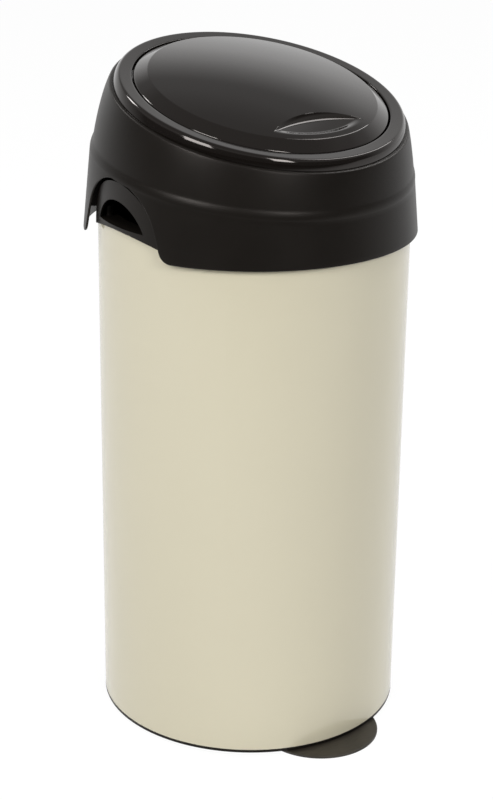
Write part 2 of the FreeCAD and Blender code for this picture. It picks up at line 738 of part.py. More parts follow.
def make_cover():
    """Matte shell: lofted walls, a deck under the ring, two side arches and standing ribs."""
    outer = cover_solid("cover_outer", Size(0), S.cover_edge, S.cover_edge)
    inner = cover_solid("cover_inner", S.cover_wall, S.cover_deck)
    shell = cut("cover_shell", outer, [inner])
    ribs = shared("cover_ribs", outer, cover_ribs())
    notch = add("Part::Box", "cover_notch", Length=(block_out + S.fit) * 2, Width=(S.block_half + S.fit) * 2,
                Height=deck_depth * 4)
    place(notch, (-block_out - S.fit, -S.block_half - S.fit, -deck_depth * 4))
    mouth_bar = cylinder("cover_mouth_bar", throat_r + S.fit, deck_depth * 4, (0, 0, -deck_depth * 4))
    deck_tools = [fuse("cover_mouth", [mouth_bar, notch])]
    for angle in RING_SCREW_ANGLES:
        x, y = around(ring_screw_r, angle)
        low = -deck_depth - S.cover_deck * 2
        deck_tools.append(cylinder(f"deck_hole_{angle}", pilot_r, S.cover_deck * 2, (x, y, low)))
    mouth = into_ring_frame(group("cover_deck_holes", deck_tools))
    return cut("cover", fuse("cover_with_ribs", [shell, ribs]), [mouth, side_arches()])


def make_bezel():
    """Gloss ring: capped channel, stop ledge round the rear half, screw bosses and bearing blocks."""
    body = new_body("bezel")
    wall = S.ring_wall
    flat_r = ring_out - S.ring_round
    dish = S.ring_dish
    revolve(body, outline(body_sketch(body, "XZ_Plane"), [
        (ring_out, -S.ring_side), (ring_out, -S.ring_round), (flat_r, 0), (ring_in + S.ring_lip, -dish),
        (ring_in, -dish - S.ring_lip), (ring_in, -S.ring_throat), (throat_r, -S.ring_throat), (throat_r, -dish - wall),
        (flat_r, -wall), (ring_out - wall, -S.ring_round), (ring_out - wall, -S.ring_side),
    ], {1: (S.ring_round, 1), 3: (S.ring_lip, 1), 8: (S.ring_round - wall, -1)}))
    ledge_high = -S.dish_rim - S.stop_pad_tall - S.fit
    ledge = rectangle(ring_in - S.ledge_wide, ring_in + wall / 2, ledge_high - S.ledge_thick, ledge_high)
    revolve(body, outline(body_sketch(body, "YZ_Plane"), ledge), S.ledge_turn)
    points = [around(ring_screw_r, angle) for angle in RING_SCREW_ANGLES]
    pad(body, circles(body_sketch(body, "XY_Plane", -deck_depth), points, S.ring_boss_r), deck_depth - wall / 2)
    for low, high in ((ring_in + wall / 2, block_out), (-block_out, -ring_in - wall / 2)):
        block = rectangle(low, high, -S.block_half, S.block_half)
        pad(body, outline(body_sketch(body, "XY_Plane", -S.block_drop), block), S.block_drop - wall / 2)
    doc.recompute()
    pilots = circles(body_sketch(body, "XY_Plane", -deck_depth), points, pilot_r)
    pocket(body, pilots, S.screw_long, up=True)
    bores = circles(body_sketch(body, "YZ_Plane"), [(0, -S.pivot_drop)], S.bush_r + S.bush_slack)
    pocket(body, bores, block_out * 2, both=True)
    return into_ring_frame(body)


def make_bezel_screws():
    reach = S.cover_deck + S.screw_long - S.fit
    screws = []
    for angle in RING_SCREW_ANGLES:
        x, y = around(ring_screw_r, angle)
        screws.append(screw(f"bezel_screw_{angle}", (x, y, -deck_depth - S.cover_deck), UP, reach))
    return into_ring_frame(group("bezel_screws", screws))


def along_axle(name, radius, low_x, high_x):
    return cylinder(name, radius, high_x - low_x, (low_x, 0, -S.pivot_drop), Vector(1, 0, 0))


def make_bush(name, low_x):
    """Plain bearing sleeve in a bearing block."""
    sleeve = along_axle(f"{name}_sleeve", S.bush_r, low_x, low_x + S.bush_long)
    bore = along_axle(f"{name}_bore", S.pin_r + S.pin_slack, low_x, low_x + S.bush_long)
    return into_ring_frame(cut(name, sleeve, [bore]))


def make_bushes():
    return make_bush("left_bush", -ring_in - S.bush_long), make_bush("right_bush", ring_in)


def make_stop_pads():
    """Small rubber buttons on the stop ledge."""
    ledge_high = -S.dish_rim - S.stop_pad_tall - S.fit
    pads = []
    for angle in STOP_PAD_ANGLES:
        x, y = around(ring_in - S.ledge_wide / 2, angle)
        pads.append(cylinder(f"stop_pad_{angle}", S.stop_pad_r, S.stop_pad_tall, (x, y, ledge_high)))
    return into_ring_frame(group("stop_pads", pads))


def dome_height(radius):
    """Height of the dome's outer face at a radius, as a parabola that follows the dome's arc closely."""
    share = radius / flap_crease_r
    return S.flap_crease + S.dome_rise * (1 - share * share)


def dome_radius(rise, half):
    return (half * half + rise * rise) / (rise * 2)


def recess_lens(name, half, tip, front, back, drop):
    """Lens between a front arc and a rear arc that meet at two tips, from a lowered copy of the dome upwards."""
    high = S.dome_rise * 2 + S.flap_crease
    front_r = dome_radius(front - tip, half)
    back_r = dome_radius(tip - back, half)
    corners = [(-half, -tip), (0, -front), (half, -tip), (0, -back)]
    arcs = {0: (front_r, 1), 1: (front_r, 1), 2: (back_r, 1), 3: (back_r, 1)}
    lens = prism(f"{name}_lens", FLAT, UP, high, corners, arcs, back=high)
    dome = spun(f"{name}_floor", [
        (0, -high), (flap_crease_r, -high), (flap_crease_r, S.flap_crease - drop),
        (0, S.flap_crease + S.dome_rise - drop),
    ], {2: (dome_radius(S.dome_rise, flap_crease_r), 1)})
    return cut(name, lens, [dome])


def make_flap_top():
    """Gloss dome with a sloped band round it, hollow below, and a pocket for the fingers near its front edge."""
    wall = S.flap_wall
    crown = S.flap_crease + S.dome_rise
    curve = dome_radius(S.dome_rise, flap_crease_r)
    outer = spun("flap_blank", [
        (0, -S.flap_skirt), (flap_r, -S.flap_skirt), (flap_r, -S.flap_edge), (flap_r - S.flap_edge, 0),
        (flap_crease_r, S.flap_crease), (0, crown),
    ], {2: (S.flap_edge, 1), 4: (curve, 1)})
    hollow = spun("flap_hollow", [
        (0, -S.flap_skirt), (flap_inner_r, -S.flap_skirt), (flap_inner_r, -wall),
        (flap_crease_r, S.flap_crease - wall), (0, crown - wall),
    ], {3: (curve, 1)})
    tip = (recess_front * recess_front - S.recess_half * S.recess_half).root()
    scoop = recess_lens("flap_scoop", S.recess_half, tip, recess_front, recess_back, S.recess_drop)
    core = recess_lens(
        "flap_recess_core", S.recess_half + wall * 2, tip, recess_front + wall, recess_back - wall, S.recess_drop + wall)
    shell = cut("flap_shell", outer, [scoop, cut("flap_void", hollow, [core])])
    bosses = []
    pilots = []
    for angle in FLAP_SCREW_ANGLES:
        x, y = around(flap_boss_at, angle)
        low = S.dish_wall - S.dish_drop
        high = dome_height(flap_boss_at) - wall / 2
        bosses.append(cylinder(f"flap_boss_{angle}", S.flap_boss_r, high - low, (x, y, low)))
        pilots.append(cylinder(f"flap_pilot_{angle}", pilot_r, S.screw_long, (x, y, low)))
    return into_ring_frame(cut("flap_top", fuse("flap_with_bosses", [shell, *bosses]), pilots))


def make_flap_underside():
    """Dished shell that closes the dome from below, with a hub for each axle pin."""
    body = new_body("flap_underside")
    wall = S.dish_wall
    revolve(body, outline(body_sketch(body, "XZ_Plane"), [
        (0, -S.dish_drop), (dish_r, -S.dish_drop), (dish_lip_r, -S.dish_rim), (dish_rim_r, -S.dish_rim),
        (dish_rim_r, wall - S.dish_rim), (dish_lip_r - wall, wall - S.dish_rim),
        (dish_r - wall, wall - S.dish_drop), (0, wall - S.dish_drop),
    ]))
    for low, high in ((hub_in, dish_rim_r - S.fit), (S.fit - dish_rim_r, -hub_in)):
        hub = outline(body_sketch(body, "XY_Plane", -S.hub_drop), rectangle(low, high, -S.hub_half, S.hub_half))
        pad(body, hub, S.hub_drop - S.flap_skirt - S.fit)
    doc.recompute()
    bore = circles(body_sketch(body, "YZ_Plane"), [(0, -S.pivot_drop)], S.pin_r + S.bush_slack)
    pocket(body, bore, flap_r * 2, both=True)
    points = [around(flap_boss_at, angle) for angle in FLAP_SCREW_ANGLES]
    points += [(weight_screw, 0), (-weight_screw, 0)]
    pocket(body, circles(body_sketch(body, "XY_Plane", wall - S.dish_drop), points, pilot_r), wall)
    return into_ring_frame(body)


def make_flap_screws():
    reach = S.dish_wall + S.screw_long - S.fit
    screws = []
    for angle in FLAP_SCREW_ANGLES:
        x, y = around(flap_boss_at, angle)
        screws.append(screw(f"flap_screw_{angle}", (x, y, -S.dish_drop), UP, reach))
    return into_ring_frame(group("flap_screws", screws))


def make_counterweight():
    """Flat steel bar on the floor of the dish."""
    low = S.dish_wall - S.dish_drop
    bar = add("Part::Box", "counterweight_bar", Length=weight_long, Width=S.weight_wide, Height=S.weight_thick)
    place(bar, (-weight_long / 2, -S.weight_wide / 2, low))
    holes = [
        cylinder(f"counterweight_hole_{side}", pilot_r, S.weight_thick, (x, 0, low))
        for side, x in (("left", -weight_screw), ("right", weight_screw))
    ]
    return into_ring_frame(cut("counterweight", bar, holes))


def make_counterweight_screws():
    reach = S.dish_wall + S.weight_thick
    return into_ring_frame(group("counterweight_screws", [
        screw(f"counterweight_screw_{side}", (x, 0, -S.dish_drop), UP, reach)
        for side, x in (("left", -weight_screw), ("right", weight_screw))
    ]))


def make_pivot_pins():
    """Stub axles, pressed into the hubs and running in the bushes."""
    _, y, z = slope_point(ring_z, S.ring_tilt, S.ring_v, S.pivot_drop)
    along = Vector(1, 0, 0)
    long = pin_out - pin_in
    left = cylinder("left_pivot_pin", S.pin_r, long, (-pin_out, y, z), along)
    right = cylinder("right_pivot_pin", S.pin_r, long, (pin_in, y, z), along)
    return left, right


def make_parts():
    right_grip = make_right_grip()
    return [
        make_steel_body(), make_base_pan(), make_foot_plate(), make_foot_plate_screws(),
        make_collar(), make_collar_rivets(), right_grip, mirrored("left_grip", right_grip), make_grip_screws(),
        make_cover(), make_bezel(), make_bezel_screws(), *make_bushes(), make_stop_pads(),
        make_flap_top(), make_flap_underside(), make_flap_screws(),
        make_counterweight(), make_counterweight_screws(), *make_pivot_pins(),
    ]


def check(parts):
    """Stops if any object failed to rebuild or any sub-part has no sound solid."""
    broken = [item.Label for item in doc.Objects if {"Invalid", "Error"} & set(item.State)]
    broken += [part.Label for part in parts if part.Shape.isNull() or not part.Shape.isValid()]
    broken += [part.Label for part in parts if not part.Shape.Solids]
    if broken:
        raise RuntimeError("failed: " + ", ".join(broken))


def main():
    parts = make_parts()
    doc.recompute()
    check(parts)
    os.makedirs("parts", exist_ok=True)
    for part in parts:
        part.Shape.exportStep(f"parts/{part.Label}.step")
        box = part.Shape.BoundBox
        print(f"{part.Label}: {len(part.Shape.Solids)} solids, {part.Shape.Volume:.0f} mm3, "
              f"z {box.ZMin:.1f} to {box.ZMax:.1f}")


main()
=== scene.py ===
import math

import bmesh
import bpy
import numpy as np
from mathutils import Matrix, Vector


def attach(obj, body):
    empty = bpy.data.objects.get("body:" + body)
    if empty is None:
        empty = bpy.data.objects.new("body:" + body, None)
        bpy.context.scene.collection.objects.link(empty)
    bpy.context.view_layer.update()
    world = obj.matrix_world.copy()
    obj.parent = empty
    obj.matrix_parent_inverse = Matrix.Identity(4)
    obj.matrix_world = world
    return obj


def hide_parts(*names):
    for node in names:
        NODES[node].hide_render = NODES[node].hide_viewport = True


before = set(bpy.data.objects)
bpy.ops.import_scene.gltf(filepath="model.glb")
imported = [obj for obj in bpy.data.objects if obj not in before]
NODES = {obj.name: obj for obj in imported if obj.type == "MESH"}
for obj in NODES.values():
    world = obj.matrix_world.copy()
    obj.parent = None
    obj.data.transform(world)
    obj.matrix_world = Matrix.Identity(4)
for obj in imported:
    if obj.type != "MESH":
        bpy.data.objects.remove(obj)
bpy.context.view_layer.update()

bl_info = {
    "name": "Swing Flap Waste Bin",
    "version": (1, 0, 0),
    "blender": (4, 5, 0),
    "location": "View3D > Sidebar > Waste Bin",
    "description": "Dresses the packed waste bin: paint, mouldings, small parts, floor, light and camera",
    "category": "Object",
}

MM = 0.001
MERGE = 0.000002
SHARP = math.radians(38)
NOISE_SPAN = (0.3, 0.7)
WHITE = (1, 1, 1, 1)
# Level direction in which the camera looks.
AHEAD = (0.6, 0.8)
RIB_ANGLES = (-150, -122, -58, -30, 30, 58, 122, 150)
RING_SCREW_TURNS = (30, 90, 150, 210, 270, 330)
# Pairs of a direction's height and the room's level there.
ROOM_RISE = ((0.0, 1.0), (0.42, 1.0), (0.52, 0.85), (0.66, 0.4), (0.81, 0.28), (1.0, 0.3))
# Tall lamps: name, direction, lower and upper end in degrees, distance, width, share of the brightness.
STRIPS = (
    ("left_strip", -106, 16, 38, 2.8, 1.1, 1.1),
    ("front_strip", -169, 15, 36, 2.8, 0.7, 1.25),
    ("side_lamp", -27, 36, 47, 2.8, 0.7, 1.6),
)
TUBE_SHARE = 0.58


def length(label, text, value):
    """A length in millimetres."""
    return bpy.props.FloatProperty(name=label, description=text, default=value)


def slope(label, text, degrees):
    """An angle."""
    return bpy.props.FloatProperty(
        name=label, description=text, subtype="ANGLE", default=math.radians(degrees))


def tint(label, text, value):
    """A colour."""
    return bpy.props.FloatVectorProperty(
        name=label, description=text, subtype="COLOR", size=3, min=0, max=1, default=value)


class RingPlane(bpy.types.PropertyGroup):
    """The slanted plane in which ring and flap lie."""

    height: length("Height", "Height of the plane on the bin's axis", 627.8)
    tilt: slope("Tilt", "Rise of the plane towards the rear", 15.9)
    along: length("Shift", "Centre of ring and flap, up the slope from the axis", -9.5)


class RingShape(bpy.types.PropertyGroup):
    """Sizes of the polished ring, in millimetres, in the ring plane's frame."""

    outer: length("Outside", "Outer radius", 139.0)
    inner: length("Opening", "Radius of the opening", 122.6)
    wall: length("Wall", "Thickness of the walls", 2.2)
    side: length("Side", "Depth of the outer side", 9.3)
    dish: length("Fall", "Fall of the top face towards the opening", 0.4)
    lip: length("Lip", "Rounding of the inner edge", 0.8)
    throat: length("Throat", "Depth of the inner wall", 15.0)
    swell_wide: length("Swell width", "Half axis of the outer rounding, sideways", 5.8)
    swell_deep: length("Swell depth", "Half axis of the outer rounding, downwards", 16.0)
    ledge_in: length("Ledge", "Inner radius of the stop ledge", 119.2)
    ledge_high: length("Ledge height", "Top of the stop ledge below the plane", 7.0)
    ledge_thick: length("Ledge thickness", "Thickness of the stop ledge", 2.5)
    ledge_turn: slope("Ledge turn", "Share of the circle that the stop ledge takes, round the rear", 140.0)
    boss_at: length("Boss place", "Distance of the screw bosses from the ring's centre", 130.8)
    boss_r: length("Boss", "Radius of the screw bosses", 3.4)
    boss_drop: length("Boss depth", "Lower face of the bosses below the plane", 9.6)
    block_out: length("Block", "Outer end of the bearing blocks", 132.6)
    block_half: length("Block half", "Half width of the bearing blocks", 7.0)
    block_drop: length("Block depth", "Lower face of the bearing blocks below the plane", 12.0)
    bore_r: length("Bore", "Radius of the bearing bores", 3.75)
    bore_drop: length("Bore depth", "Axis of the bores below the plane", 6.5)


class CoverShape(bpy.types.PropertyGroup):
    """Sizes of the moulded cover, in millimetres."""

    wall: length("Wall", "Thickness of the wall", 2.2)
    low: length("Lower edge", "Height of the lower edge", 494.0)
    low_r: length("Lower radius", "Outer radius of the lower edge", 160.7)
    low_y: length("Lower shift", "Centre of the lower edge behind the axis", 5.9)
    crease: length("Crease", "Height of the crease on the axis", 567.5)
    crease_tilt: slope("Crease tilt", "Rise of the crease towards the rear", 8.8)
    crease_along: length("Crease shift", "Centre of the crease, up its slope", 2.2)
    crease_r: length("Crease radius", "Outer radius just below the shoulder", 155.1)
    crease_soft: length("Shoulder", "Height of the rounded shoulder below the crease", 9.0)
    crease_step: length("Crease step", "Step inwards over that shoulder", 2.4)
    mid: length("Middle", "Height of the section between crease and ring on the axis", 596.5)
    mid_tilt: slope("Middle tilt", "Rise of that section towards the rear", 12.8)
    mid_along: length("Middle shift", "Centre of that section, up its slope", -1.7)
    mid_r: length("Middle radius", "Outer radius of that section", 147.8)
    top_r: length("Top radius", "Outer radius of the upper edge", 142.2)
    top_round: length("Top rounding", "Reach of the upper edge's rounding", 2.6)
    deck_depth: length("Deck depth", "Deck below the ring plane", 9.6)
    deck: length("Deck", "Thickness of the deck", 2.5)
    mouth_r: length("Mouth", "Radius of the opening in the deck", 125.1)
    notch_reach: length("Notch", "Reach of the two notches for the bearing blocks", 132.9)
    notch_half: length("Notch half", "Half width of those notches", 7.3)
    arch_y: length("Arch place", "Middle of the side arches behind the axis", 6.0)
    arch_z: length("Arch centre", "Height of the arches' round centre", 502.0)
    arch_r: length("Arch radius", "Radius of the arches' round top", 58.0)
    arch_lean: slope("Arch lean", "Lean of the arches' flanks", 20.0)
    arch_flare: length("Arch flare", "Rounding at the foot of the flanks", 13.0)
    rib_in: length("Rib radius", "Inner end of the ribs", 144.5)
    rib_low: length("Rib foot", "Lower end of the ribs", 515.3)
    rib_top: length("Rib top", "Upper end of the ribs", 544.3)
    rib_half: length("Rib half", "Half thickness of the ribs", 1.0)


class FlapShape(bpy.types.PropertyGroup):
    """Sizes of the swing flap's dome, in millimetres, in the ring plane's frame."""

    radius: length("Radius", "Outer radius", 121.0)
    skirt: length("Skirt", "Depth of the outer edge below the plane", 3.6)
    edge: length("Edge", "Rounding of the outer edge", 1.5)
    crease_r: length("Crease radius", "Where the sloped band meets the dome", 108.8)
    crease: length("Crease height", "Height of that line", 6.5)
    rise: length("Rise", "Rise of the dome above that line", 10.0)
    wall: length("Wall", "Thickness of the wall", 2.2)
    recess_front: length("Recess front", "Where the recess floor runs out in front", 102.6)
    recess_back: length("Recess back", "Middle of the recess's rear wall, in front of the centre", 71.7)
    recess_half: length("Recess half", "Half width of the recess", 52.0)
    recess_drop: length("Recess drop", "Floor below the dome, at the middle of the rear wall", 5.2)
    recess_rise: length("Recess rise", "What the floor gains on the dome towards the front", 2.5)
    recess_lip: length("Recess lip", "Rounding outside the recess's outline", 0.5)
    recess_wall: length("Recess wall", "Reach of the hollow rear wall in the middle", 7.2)
    recess_run: length("Recess run", "Width from that rounding to the floor, at the front", 8.5)


class BinFinishes(bpy.types.PropertyGroup):
    """Colours of the bin's finishes, as they look under plain white light."""

    cream: tint("Cream paint", "Glossy paint of the steel body", (0.758, 0.705, 0.531))
    soft_black: tint("Soft black", "Matte moulding of cover, grips and base", (0.007, 0.0056, 0.0044))
    piano_black: tint("Polished black", "Gloss moulding of ring and flap", (0.006, 0.0045, 0.0036))
    plate_brown: tint("Plate brown", "Dark paint of the foot plate", (0.028, 0.023, 0.0165))
    zinc: tint("Zinc", "Plated screws, rivets and axle pins", (0.52, 0.52, 0.51))


class BinStage(bpy.types.PropertyGroup):
    """Camera, floor and light."""

    lens: bpy.props.FloatProperty(
        name="Lens", description="Focal length over a 36 mm long side", subtype="DISTANCE_CAMERA",
        default=82.285)
    eye: bpy.props.FloatVectorProperty(
        name="Eye", description="Camera position", subtype="TRANSLATION", size=3, unit="LENGTH",
        default=(-1.0189, -1.3680, 0.9549))
    heading: bpy.props.FloatProperty(
        name="Heading", description="Direction of view, from the rear towards the right", subtype="ANGLE",
        default=math.atan2(0.5948, 0.8039))
    dip: slope("Dip", "How far the camera looks down", 20.56)
    roll: bpy.props.FloatProperty(
        name="Roll", description="Turn of the camera about its own line of sight", subtype="ANGLE",
        default=0.01261)
    floor_reach: bpy.props.FloatProperty(
        name="Floor reach", description="Radius of the pale floor", unit="LENGTH", default=14.0)
    strips: bpy.props.FloatProperty(
        name="Strip lights", description="Brightness of the tall lamps, as a mirror would show it",
        default=10.0)
    tube: bpy.props.FloatProperty(
        name="Overhead lamp", description="Width of the long lamp overhead", unit="LENGTH", default=0.52)
    sky: bpy.props.FloatProperty(
        name="Room light", description="Strength of the white room near the horizon", default=1.2)


class Value:
    """A shader socket that takes part in Python arithmetic; each operation adds a Math node."""

    def __init__(self, sheet, socket):
        self.sheet = sheet
        self.socket = socket

    def math(self, operation, *others):
        inputs = dict(enumerate((self, *others)))
        return self.sheet.node("ShaderNodeMath", {"operation": operation}, inputs).out(0)

    def __add__(self, other):
        return self.math("ADD", other)

    def __mul__(self, other):
        return self.math("MULTIPLY", other)

    __radd__ = __add__
    __rmul__ = __mul__

    def ramp(self, low, high, start=0.0, end=1.0):
        """This value carried from the span low to high over to the span start to end, held at both ends."""
        return self.sheet.node("ShaderNodeMapRange", {"clamp": True}, {
            "Value": self, "From Min": low, "From Max": high, "To Min": start, "To Max": end,
        }).out("Result")

    def spread(self, start=0.0, end=1.0):
        """A noise, which lies mostly in one span, carried over to the span start to end."""
        return self.ramp(*NOISE_SPAN, start, end)


class Placed:
    """A node that has been added to a shader, with its outputs as values."""

    def __init__(self, sheet, node):
        self.sheet = sheet
        self.node = node

    def out(self, key):
        return Value(self.sheet, self.node.outputs[key])


class Sheet:
    """Shader nodes of a material or of the world."""

    def __init__(self, owner):
        self.owner = owner
        owner.use_nodes = True
        self.tree = owner.node_tree
        self.tree.nodes.clear()

    def node(self, kind, settings=None, inputs=None):
        """Adds a node of any type: its settings first, then values or links for its sockets."""
        made = self.tree.nodes.new(kind)
        for key, value in (settings or {}).items():
            setattr(made, key, value)
        for key, value in (inputs or {}).items():
            if isinstance(value, Value):
                self.tree.links.new(value.socket, made.inputs[key])
            else:
                made.inputs[key].default_value = value
        return Placed(self, made)

    def curve(self, value, points):
        """A value carried through straight lines between points, each a pair of place and level."""
        ramp = self.node("ShaderNodeValToRGB", {}, {"Fac": value})
        stops = ramp.node.color_ramp.elements
        for place, level in points[1:-1]:
            stops.new(place).color = (level, level, level, 1)
        for stop, (place, level) in ((stops[0], points[0]), (stops[-1], points[-1])):
            stop.position = place
            stop.color = (level, level, level, 1)
        return ramp.out("Color")


class Finish(Sheet):
    """A material under construction."""

    def __init__(self, name):
        super().__init__(bpy.data.materials.new(name))

    def place(self, scale=(1, 1, 1)):
        """Object coordinates, stretched."""
        spot = self.node("ShaderNodeTexCoord").out("Object")
        return self.node("ShaderNodeMapping", {}, {"Vector": spot, "Scale": scale}).out("Vector")

    def noise(self, at, scale, detail=2.0, roughness=0.5):
        return self.node("ShaderNodeTexNoise", {}, {
            "Vector": at, "Scale": scale, "Detail": detail, "Roughness": roughness,
        }).out("Fac")

    def blend(self, share, first, second):
        """Colour between two colours."""
        return self.node("ShaderNodeMix", {"data_type": "RGBA"}, {0: share, 6: first, 7: second}).out(2)

    def bump(self, height, depth, strength=1.0):
        return self.node("ShaderNodeBump", {}, {
            "Height": height, "Distance": depth, "Strength": strength,
        }).out("Normal")

    def surface(self, **inputs):
        """Closes the material with one Principled shader."""
        names = {key.replace("_", " "): value for key, value in inputs.items()}
        shader = self.node("ShaderNodeBsdfPrincipled", {}, names)
        self.node("ShaderNodeOutputMaterial", {}, {"Surface": shader.out("BSDF")})
        return self.owner


def shade(colour, factor):
    """A colour times a number, with full alpha."""
    return (*(min(channel * factor, 1.0) for channel in colour), 1.0)


def cream_paint(colour):
    """Sprayed paint under a smooth clear gloss: almost even colour, a trace of peel, and painted shade
    inside: the wall's inner face is near black so that the bin's inside reads dark.
    """
    # Painted shade: near-black colour on the inner face of the wall stands in for the shade inside the bin.
    painted_inner_shade = (0.03, 0.029, 0.027, 1)
    inner_shade_to = 0.1494
    paint_from = 0.1497
    finish = Finish("cream_paint")
    at = finish.place()
    cloud = finish.noise(at, 5.0, 3.0)
    peel = finish.noise(at, 420.0, 2.0)
    spot = finish.node("ShaderNodeSeparateXYZ", {}, {0: at})
    away = (spot.out("X") * spot.out("X") + spot.out("Y") * spot.out("Y")).math("SQRT")
    paint = finish.blend(cloud.spread(), shade(colour, 0.992), shade(colour, 1.008))
    return finish.surface(
        Base_Color=finish.blend(away.ramp(inner_shade_to, paint_from), painted_inner_shade, paint),
        Roughness=peel.spread(0.4, 0.5), Specular_IOR_Level=0.2,
        Coat_Weight=1.0, Coat_Roughness=0.05,
    )


def soft_black(colour):
    """Moulded plastic with a fine spark-eroded grain."""
    finish = Finish("soft_black_moulding")
    at = finish.place()
    grain = finish.noise(at, 2600.0, 3.0, 0.6)
    patch = finish.noise(at, 18.0, 4.0)
    return finish.surface(
        Base_Color=finish.blend(patch.spread(), shade(colour, 0.92), shade(colour, 1.08)),
        Roughness=grain.ramp(0.25, 0.75, -0.03, 0.03) + patch.spread(0.36, 0.4),
        Specular_IOR_Level=0.24, Specular_Tint=(1, 0.93, 0.88, 1),
        Normal=finish.bump(grain, 0.00004, 0.4),
    )


def polished_black(colour):
    """High-gloss moulding: near mirror, with a breath of dust and a faint film in the gloss."""
    finish = Finish("polished_black_moulding")
    at = finish.place()
    dust = finish.noise(at, 700.0, 4.0, 0.7)
    film = finish.noise(at, 9.0, 3.0)
    return finish.surface(
        Base_Color=finish.blend(dust.ramp(0.62, 0.8), shade(colour, 1.0), shade(colour, 1.6)),
        Roughness=film.spread(0.06, 0.09), Specular_Tint=(1, 0.93, 0.89, 1),
    )


def plate_brown(colour):
    """Thin dark paint on steel, cloudy and rubbed by shoes."""
    finish = Finish("plate_paint")
    at = finish.place()
    cloud = finish.noise(at, 34.0, 5.0, 0.6)
    rub = finish.noise(finish.place((1, 4, 1)), 120.0, 3.0)
    return finish.surface(
        Base_Color=finish.blend(cloud.ramp(0.28, 0.72), shade(colour, 0.7), shade(colour, 1.35)),
        Roughness=cloud.spread(0.36, 0.5) + rub.ramp(0.4, 0.7, -0.04, 0.04),
        Normal=finish.bump(cloud, 0.0001, 0.3),
    )


def zinc_plate(colour):
    """Bright zinc with a cloudy bloom."""
    finish = Finish("zinc_plate")
    at = finish.place()
    bloom = finish.noise(at, 260.0, 4.0)
    return finish.surface(
        Base_Color=finish.blend(bloom.spread(), shade(colour, 0.85), shade(colour, 1.1)),
        Metallic=1.0, Roughness=bloom.spread(0.25, 0.4),
    )


def plain_steel():
    """Cold-rolled flat bar with rolling lines along its length."""
    finish = Finish("plain_steel_bar")
    line = finish.noise(finish.place((0.05, 1, 1)), 900.0, 3.0)
    return finish.surface(
        Base_Color=finish.blend(line.spread(), (0.25, 0.25, 0.255, 1), (0.38, 0.38, 0.385, 1)),
        Metallic=1.0, Roughness=line.spread(0.32, 0.48),
    )


def natural_acetal():
    """Waxy off-white bearing plastic."""
    finish = Finish("natural_acetal")
    wax = finish.noise(finish.place(), 300.0, 3.0)
    return finish.surface(
        Base_Color=finish.blend(wax.spread(), (0.56, 0.55, 0.5, 1), (0.64, 0.63, 0.58, 1)),
        Roughness=wax.spread(0.35, 0.45),
    )


def pad_rubber():
    """Soft black rubber with a dusty bloom."""
    finish = Finish("pad_rubber")
    bloom = finish.noise(finish.place(), 500.0, 3.0)
    return finish.surface(
        Base_Color=finish.blend(bloom.spread(), (0.012, 0.012, 0.012, 1), (0.022, 0.022, 0.022, 1)),
        Roughness=bloom.spread(0.7, 0.85),
    )


def dress(material, *names):
    """Gives CAD nodes one material."""
    for name in names:
        mesh = NODES[name].data
        mesh.materials.clear()
        mesh.materials.append(material)


def unit(arrows):
    """Arrows brought to length one."""
    return arrows / np.linalg.norm(arrows, axis=-1, keepdims=True)


def between(first, last, steps):
    """Rows of points that lead straight from one row to another, both ends left out."""
    share = np.linspace(0, 1, steps + 2)[1:-1, None, None]
    return first + (last - first) * share


def bend(before, corner, after, reach, steps):
    """Rows of a parabola that rounds a corner: it leaves the straight lines at a reach from the corner."""
    most = 0.45
    back = before - corner
    ahead = after - corner
    span_back = np.linalg.norm(back, axis=-1, keepdims=True)
    span_ahead = np.linalg.norm(ahead, axis=-1, keepdims=True)
    start = corner + back / span_back * np.minimum(reach, span_back * most)
    end = corner + ahead / span_ahead * np.minimum(reach, span_ahead * most)
    share = np.linspace(0, 1, steps)[:, None, None]
    return start * (1 - share) ** 2 + corner * 2 * share * (1 - share) + end * share ** 2


def slanted(plane, tilt, along, depth, radius, turn):
    """Circle in a plane that rises to the rear.

    The centre lies up the slope from the bin's axis by the shift and below the plane by the depth. A point
    at an angle from the right towards the rear is the centre, plus radius times cosine sideways, plus
    radius times sine up the slope.
    """
    across = radius * np.cos(turn)
    up = along + radius * np.sin(turn)
    y = up * math.cos(tilt) + depth * math.sin(tilt)
    z = plane + up * math.sin(tilt) - depth * math.cos(tilt)
    return np.stack([across, y, np.broadcast_to(z, np.shape(y))], -1)


def tipped(x, v, h, plane):
    """Points of the ring plane's frame, sideways, up the slope and above the plane, in the bin's frame."""
    up = plane.along + v
    y = up * math.cos(plane.tilt) - h * math.sin(plane.tilt)
    z = plane.height + up * math.sin(plane.tilt) + h * math.cos(plane.tilt)
    return np.stack([x, y, z], -1)


def full_turn(count):
    """Even angles round a circle."""
    return np.linspace(0, math.tau, count + 1)[:-1]


def netted(points, ring_rows=False, ring_columns=False):
    """A grid of points with the corner numbers of its four-sided faces; a ring closes on itself."""
    rows, columns = points.shape[:2]
    down, across = np.meshgrid(
        np.arange(rows if ring_rows else rows - 1),
        np.arange(columns if ring_columns else columns - 1), indexing="ij")
    below = (down + 1) % rows
    beside = (across + 1) % columns
    corners = [
        down * columns + across, down * columns + beside,
        below * columns + beside, below * columns + across,
    ]
    return points, np.stack(corners, -1).reshape(-1, 4)


def capped(rows):
    """Rows of a closed loop with a point at both ends, so that the ends are shut."""
    ends = [np.broadcast_to(row.mean(0), row.shape)[None] for row in (rows[0], rows[-1])]
    return np.concatenate([ends[0], rows, ends[1]])


